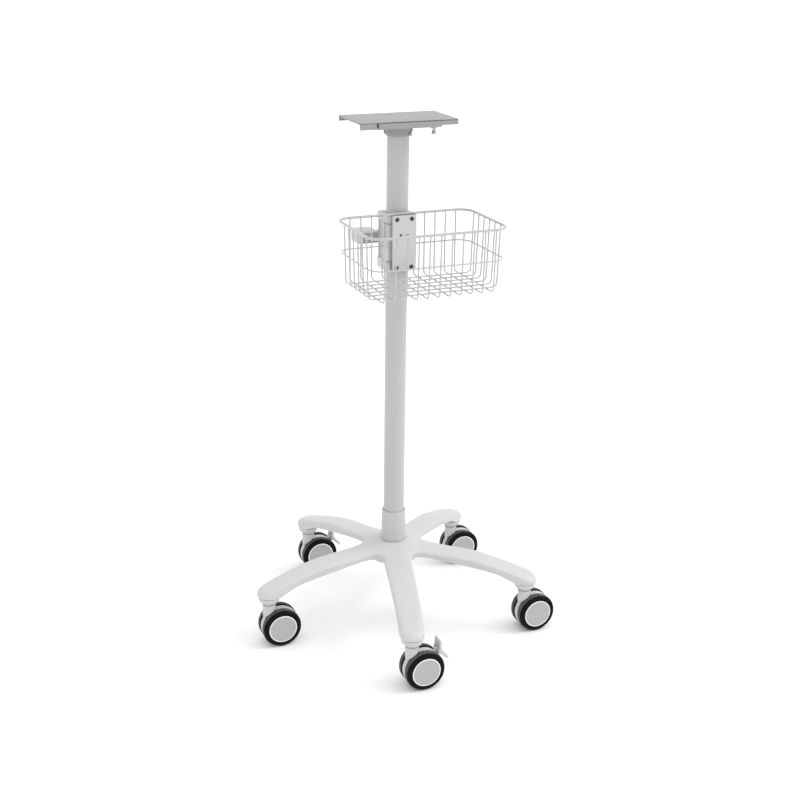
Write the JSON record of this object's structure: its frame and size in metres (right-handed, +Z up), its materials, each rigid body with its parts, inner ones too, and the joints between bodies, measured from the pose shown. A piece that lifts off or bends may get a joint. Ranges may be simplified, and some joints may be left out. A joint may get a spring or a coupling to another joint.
{
  "type": "patient monitor rolling stand",
  "caption": "Rolling stand for a patient monitor: star base on twin-wheel casters, round pole, clamped wire basket with a lead arm, and a quick-release sliding top plate.",
  "frame": {"origin": "middle of the overall box, on the floor under the wheels", "axes": "+Z up along the pole, the basket faces -Y, the top plate slides off towards -X"},
  "size_m": [0.5572, 0.5408, 0.9815],
  "materials": {
    "base_casting": "satin",
    "pole_paint": "satin",
    "sleeve_plastic": "satin",
    "caster_plastic": "satin",
    "hub_plastic": "satin",
    "tyre_rubber": "matte",
    "plated_steel": "satin",
    "head_sheet": "satin",
    "bracket_casting": "satin",
    "wire_coat": "gloss"
  },
  "bodies": {
    "base": {"base_star": "base_casting", "pole": "pole_paint", "pole_sleeve": "sleeve_plastic", "pole_foot_plug": "plated_steel", "pole_foot_bolt": "plated_steel", "caster_cup_front": "caster_plastic", "caster_cup_right": "caster_plastic", "caster_cup_back_right": "caster_plastic", "caster_cup_back_left": "caster_plastic", "caster_cup_left": "caster_plastic", "head_socket": "bracket_casting", "set_screw_left": "plated_steel", "set_screw_right": "plated_steel", "set_screw_front": "plated_steel", "rail_plate": "head_sheet", "plunger_barrel": "plated_steel"},
    "caster_front": {"caster_fork_front": "caster_plastic", "axle_front": "plated_steel"},
    "wheel_a_front": {"tyre_a_front": "tyre_rubber", "wheel_hub_a_front": "hub_plastic"},
    "wheel_b_front": {"tyre_b_front": "tyre_rubber", "wheel_hub_b_front": "hub_plastic"},
    "caster_right": {"caster_fork_right": "caster_plastic", "axle_right": "plated_steel"},
    "wheel_a_right": {"tyre_a_right": "tyre_rubber", "wheel_hub_a_right": "hub_plastic"},
    "wheel_b_right": {"tyre_b_right": "tyre_rubber", "wheel_hub_b_right": "hub_plastic"},
    "caster_back_right": {"caster_fork_back_right": "caster_plastic", "axle_back_right": "plated_steel"},
    "wheel_a_back_right": {"tyre_a_back_right": "tyre_rubber", "wheel_hub_a_back_right": "hub_plastic"},
    "wheel_b_back_right": {"tyre_b_back_right": "tyre_rubber", "wheel_hub_b_back_right": "hub_plastic"},
    "caster_back_left": {"caster_fork_back_left": "caster_plastic", "axle_back_left": "plated_steel"},
    "wheel_a_back_left": {"tyre_a_back_left": "tyre_rubber", "wheel_hub_a_back_left": "hub_plastic"},
    "wheel_b_back_left": {"tyre_b_back_left": "tyre_rubber", "wheel_hub_b_back_left": "hub_plastic"},
    "caster_left": {"caster_fork_left": "caster_plastic", "axle_left": "plated_steel"},
    "wheel_a_left": {"tyre_a_left": "tyre_rubber", "wheel_hub_a_left": "hub_plastic"},
    "wheel_b_left": {"tyre_b_left": "tyre_rubber", "wheel_hub_b_left": "hub_plastic"},
    "brake_front": {"brake_pedal_front": "caster_plastic"},
    "brake_back_left": {"brake_pedal_back_left": "caster_plastic"},
    "head_plate": {"slide_plate": "head_sheet"},
    "plunger": {"plunger_knob": "plated_steel"},
    "bracket": {"bracket_rail": "bracket_casting", "bracket_collar_lower": "bracket_casting", "bracket_collar_upper": "bracket_casting", "clamp_plate": "bracket_casting", "clamp_screw_1": "plated_steel", "clamp_screw_2": "plated_steel", "clamp_screw_3": "plated_steel", "clamp_screw_4": "plated_steel", "cable_arm": "caster_plastic", "basket": "wire_coat"}
  },
  "joints": [
    {"name": "swivel_front", "type": "hinge", "parent": "base", "child": "caster_front", "pos_m": [-0.06429, -0.24694, 0.09], "axis": [0, 0, 1], "continuous": true},
    {"name": "roll_a_front", "type": "hinge", "parent": "caster_front", "child": "wheel_a_front", "pos_m": [-0.04429, -0.24694, 0.0375], "axis": [0, 1, 0], "continuous": true},
    {"name": "roll_b_front", "type": "hinge", "parent": "caster_front", "child": "wheel_b_front", "pos_m": [-0.04429, -0.24694, 0.0375], "axis": [0, 1, 0], "continuous": true},
    {"name": "swivel_right", "type": "hinge", "parent": "base", "child": "caster_right", "pos_m": [0.22106, -0.1374, 0.09], "axis": [0, 0, 1], "continuous": true},
    {"name": "roll_a_right", "type": "hinge", "parent": "caster_right", "child": "wheel_a_right", "pos_m": [0.24106, -0.1374, 0.0375], "axis": [0, 1, 0], "continuous": true},
    {"name": "roll_b_right", "type": "hinge", "parent": "caster_right", "child": "wheel_b_right", "pos_m": [0.24106, -0.1374, 0.0375], "axis": [0, 1, 0], "continuous": true},
    {"name": "swivel_back_right", "type": "hinge", "parent": "base", "child": "caster_back_right", "pos_m": [0.20506, 0.16783, 0.09], "axis": [0, 0, 1], "continuous": true},
    {"name": "roll_a_back_right", "type": "hinge", "parent": "caster_back_right", "child": "wheel_a_back_right", "pos_m": [0.22506, 0.16783, 0.0375], "axis": [0, 1, 0], "continuous": true},
    {"name": "roll_b_back_right", "type": "hinge", "parent": "caster_back_right", "child": "wheel_b_back_right", "pos_m": [0.22506, 0.16783, 0.0375], "axis": [0, 1, 0], "continuous": true},
    {"name": "swivel_back_left", "type": "hinge", "parent": "base", "child": "caster_back_left", "pos_m": [-0.09017, 0.24694, 0.09], "axis": [0, 0, 1], "continuous": true},
    {"name": "roll_a_back_left", "type": "hinge", "parent": "caster_back_left", "child": "wheel_a_back_left", "pos_m": [-0.07017, 0.24694, 0.0375], "axis": [0, 1, 0], "continuous": true},
    {"name": "roll_b_back_left", "type": "hinge", "parent": "caster_back_left", "child": "wheel_b_back_left", "pos_m": [-0.07017, 0.24694, 0.0375], "axis": [0, 1, 0], "continuous": true},
    {"name": "swivel_left", "type": "hinge", "parent": "base", "child": "caster_left", "pos_m": [-0.25664, -0.0094, 0.09], "axis": [0, 0, 1], "continuous": true},
    {"name": "roll_a_left", "type": "hinge", "parent": "caster_left", "child": "wheel_a_left", "pos_m": [-0.23664, -0.0094, 0.0375], "axis": [0, 1, 0], "continuous": true},
    {"name": "roll_b_left", "type": "hinge", "parent": "caster_left", "child": "wheel_b_left", "pos_m": [-0.23664, -0.0094, 0.0375], "axis": [0, 1, 0], "continuous": true},
    {"name": "brake_front", "type": "hinge", "parent": "caster_front", "child": "brake_front", "pos_m": [-0.01279, -0.24694, 0.0668], "axis": [0, 1, 0], "range_deg": [0, 15]},
    {"name": "brake_back_left", "type": "hinge", "parent": "caster_back_left", "child": "brake_back_left", "pos_m": [-0.03867, 0.24694, 0.0668], "axis": [0, 1, 0], "range_deg": [0, 15]},
    {"name": "plate_slide", "type": "slide", "parent": "base", "child": "head_plate", "axis": [1, 0, 0], "range_m": [-0.1, 0]},
    {"name": "plunger_pull", "type": "slide", "parent": "base", "child": "plunger", "axis": [0, 0, -1], "range_m": [0, 0.006], "stiffness_N_per_m": 500, "springref_m": -0.002},
    {"name": "bracket_height", "type": "slide", "parent": "base", "child": "bracket", "axis": [0, 0, 1], "range_m": [-0.35, 0.1]}
  ]
}
